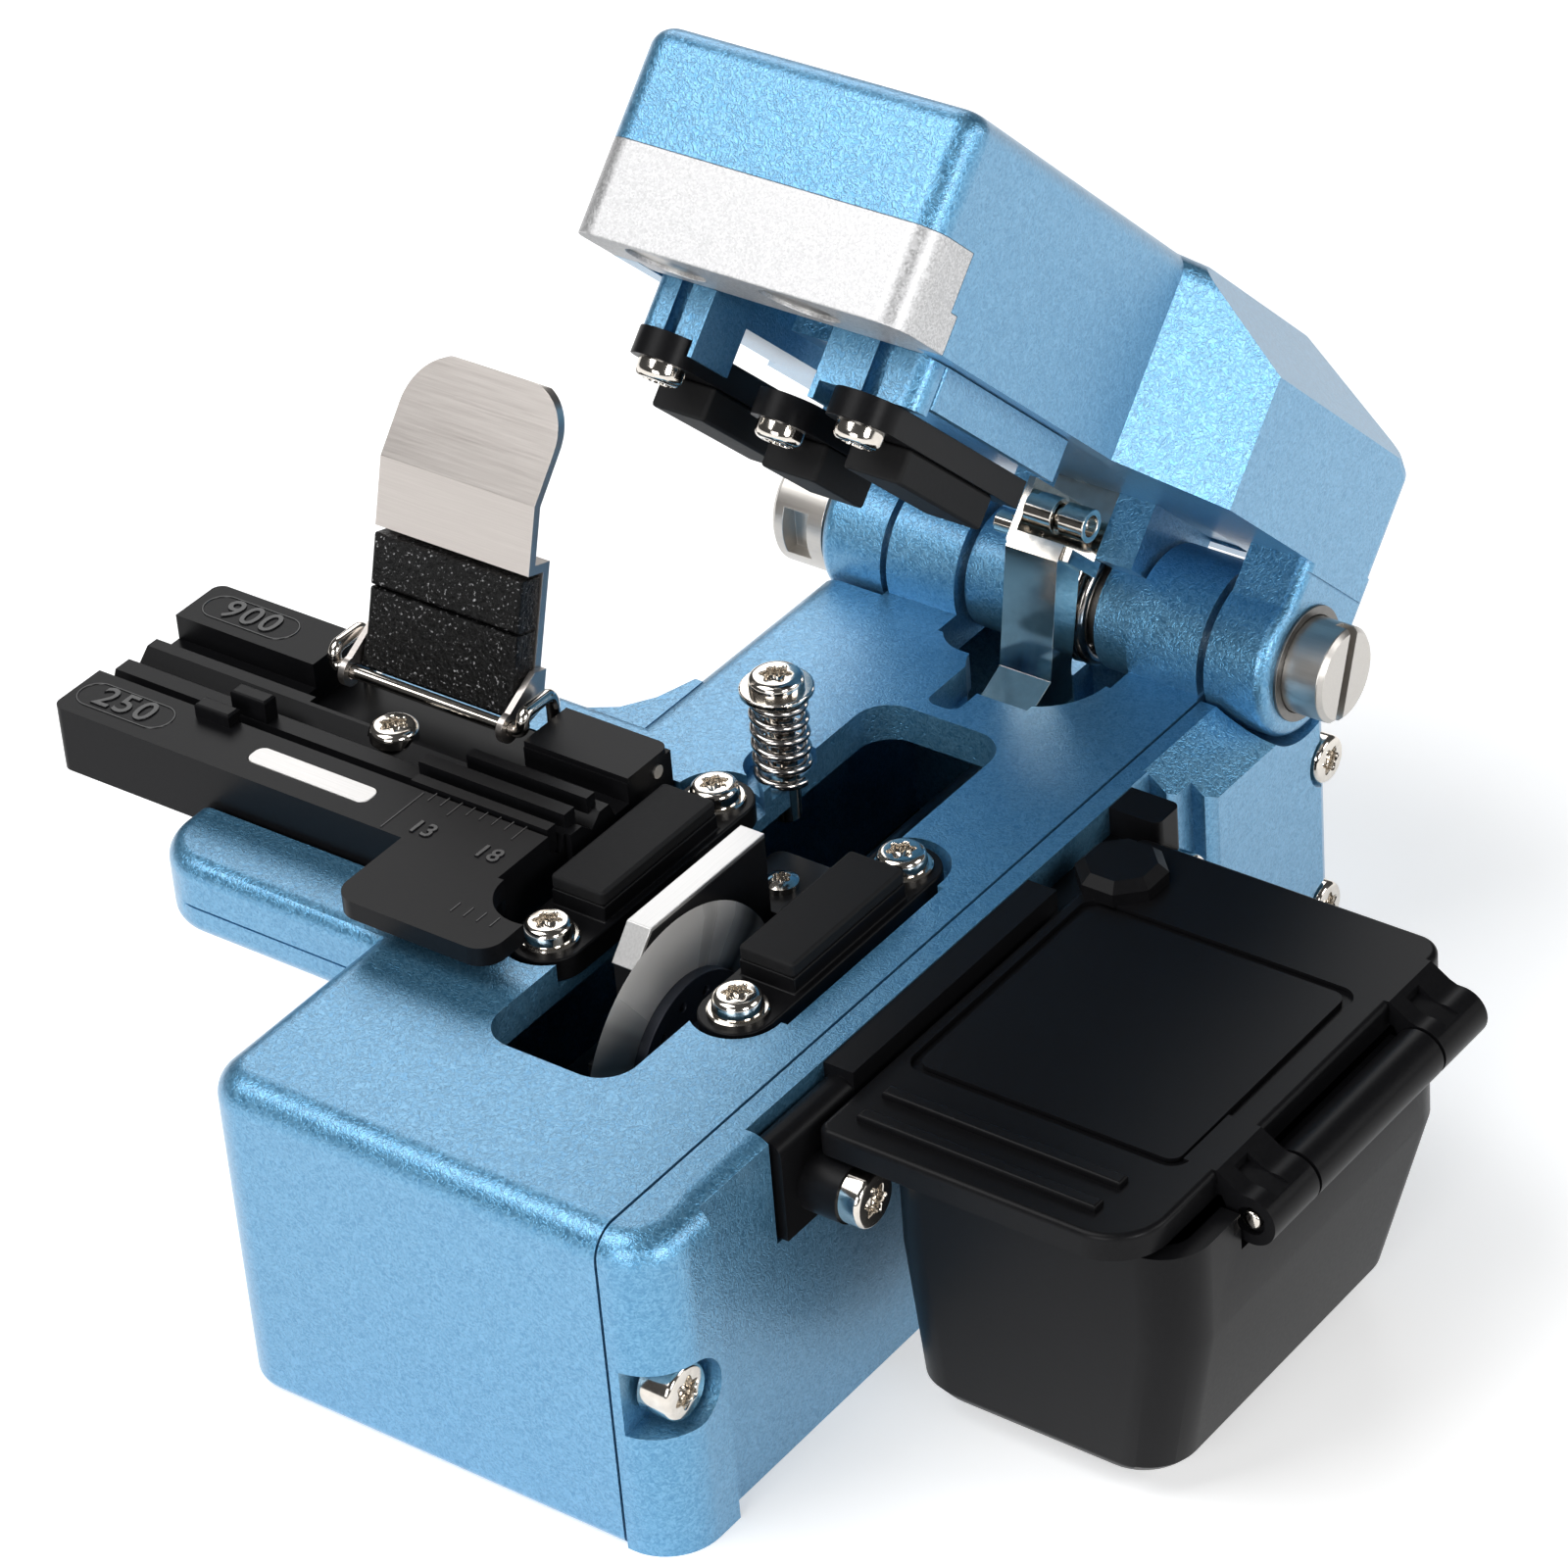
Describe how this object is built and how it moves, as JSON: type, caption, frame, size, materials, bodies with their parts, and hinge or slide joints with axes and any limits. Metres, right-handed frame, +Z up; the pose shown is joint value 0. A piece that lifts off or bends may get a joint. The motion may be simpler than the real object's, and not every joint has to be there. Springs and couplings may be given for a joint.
{
  "type": "fibre cleaver",
  "caption": "Bench cleaver for optical fibre: sprung lid drives a sliding blade wheel past clamp pads, with a three-way fibre holder and a side waste bin.",
  "frame": {"origin": "point on the bench straight below the place where the blade meets the fibre", "axes": "+X along the fibre, from the fibre holder towards the waste bin; +Y away from the user to the lid hinge; +Z up"},
  "size_m": [0.0892, 0.0805, 0.0723],
  "materials": {
    "blue_metal": "fine-grained blue anodised",
    "bare_aluminium": "sparkling matt",
    "steel": "brushed",
    "bright_screws": "polished",
    "black_plastic": "matt moulded",
    "rubber": "smooth rubber",
    "foam": "closed-cell foam with a fine sparkle",
    "dark_metal": "blackened",
    "machined_steel": "fresh machined"
  },
  "bodies": {
    "base": {"base_housing": "blue_metal", "side_cover": "blue_metal", "bottom_plate": "blue_metal", "base_feet": "rubber", "cover_screws": "bright_screws", "guide_rods": "steel", "lower_pad_holders": "black_plastic", "lower_pads": "rubber", "lower_pad_screws": "bright_screws", "fibre_holder": "black_plastic", "holder_inlay": "bare_aluminium", "holder_screw": "bright_screws", "holder_pin": "steel", "clamp_wire": "bright_screws", "hinge_shaft": "steel", "hinge_cap": "bright_screws", "torsion_spring": "bright_screws", "bin_bracket": "black_plastic", "bracket_screws": "bright_screws", "bin_body": "black_plastic", "bin_hinge_pin": "steel"},
    "lid": {"lid_shell": "blue_metal", "lid_front_bar": "bare_aluminium", "bar_magnets": "steel", "lid_frame": "blue_metal", "ear_bush": "steel", "upper_pad_holders": "black_plastic", "upper_pads": "rubber", "upper_pad_screws": "bright_screws", "drive_arm": "bright_screws", "roller_pins": "bright_screws"},
    "carriage": {"carriage_block": "dark_metal", "guard_wall": "dark_metal", "guard_rail": "machined_steel", "carriage_screws": "bright_screws"},
    "blade": {"blade_wheel": "machined_steel", "blade_hub": "dark_metal", "hub_screw": "bright_screws"},
    "post": {"post_screw": "bright_screws", "post_spring": "bright_screws"},
    "clamp": {"clamp_plate": "steel", "clamp_foam": "foam"},
    "bin_lid": {"bin_lid": "black_plastic"}
  },
  "joints": [
    {"name": "lid_hinge", "type": "hinge", "parent": "base", "child": "lid", "pos_m": [0, 0.0375, 0.0243], "axis": [1, 0, 0], "range_deg": [0, 39.5], "stiffness_Nm_per_rad": 0.06, "springref_deg": -51.57},
    {"name": "carriage_slide", "type": "slide", "parent": "base", "child": "carriage", "axis": [0, 1, 0], "range_m": [0, 0.0175]},
    {"name": "blade_index", "type": "hinge", "parent": "carriage", "child": "blade", "pos_m": [0.00025, -0.0057, 0.0153], "axis": [1, 0, 0], "continuous": true},
    {"name": "post_slide", "type": "slide", "parent": "base", "child": "post", "axis": [0, 0, -1], "range_m": [0, 0.003], "stiffness_N_per_m": 300, "springref_m": -0.002, "deforming": ["post_spring"]},
    {"name": "clamp_hinge", "type": "hinge", "parent": "base", "child": "clamp", "pos_m": [-0.0266, 0.0046, 0.0259], "axis": [1, 0, 0], "range_deg": [0, 106]},
    {"name": "bin_hinge", "type": "hinge", "parent": "base", "child": "bin_lid", "pos_m": [0.0408, 0.0045, 0.0193], "axis": [0, 1, 0], "range_deg": [0, 110]}
  ],
  "couplings": [
    {"joint": "carriage_slide", "follows": "lid_hinge", "m_per_rad": 0.02538}
  ]
}
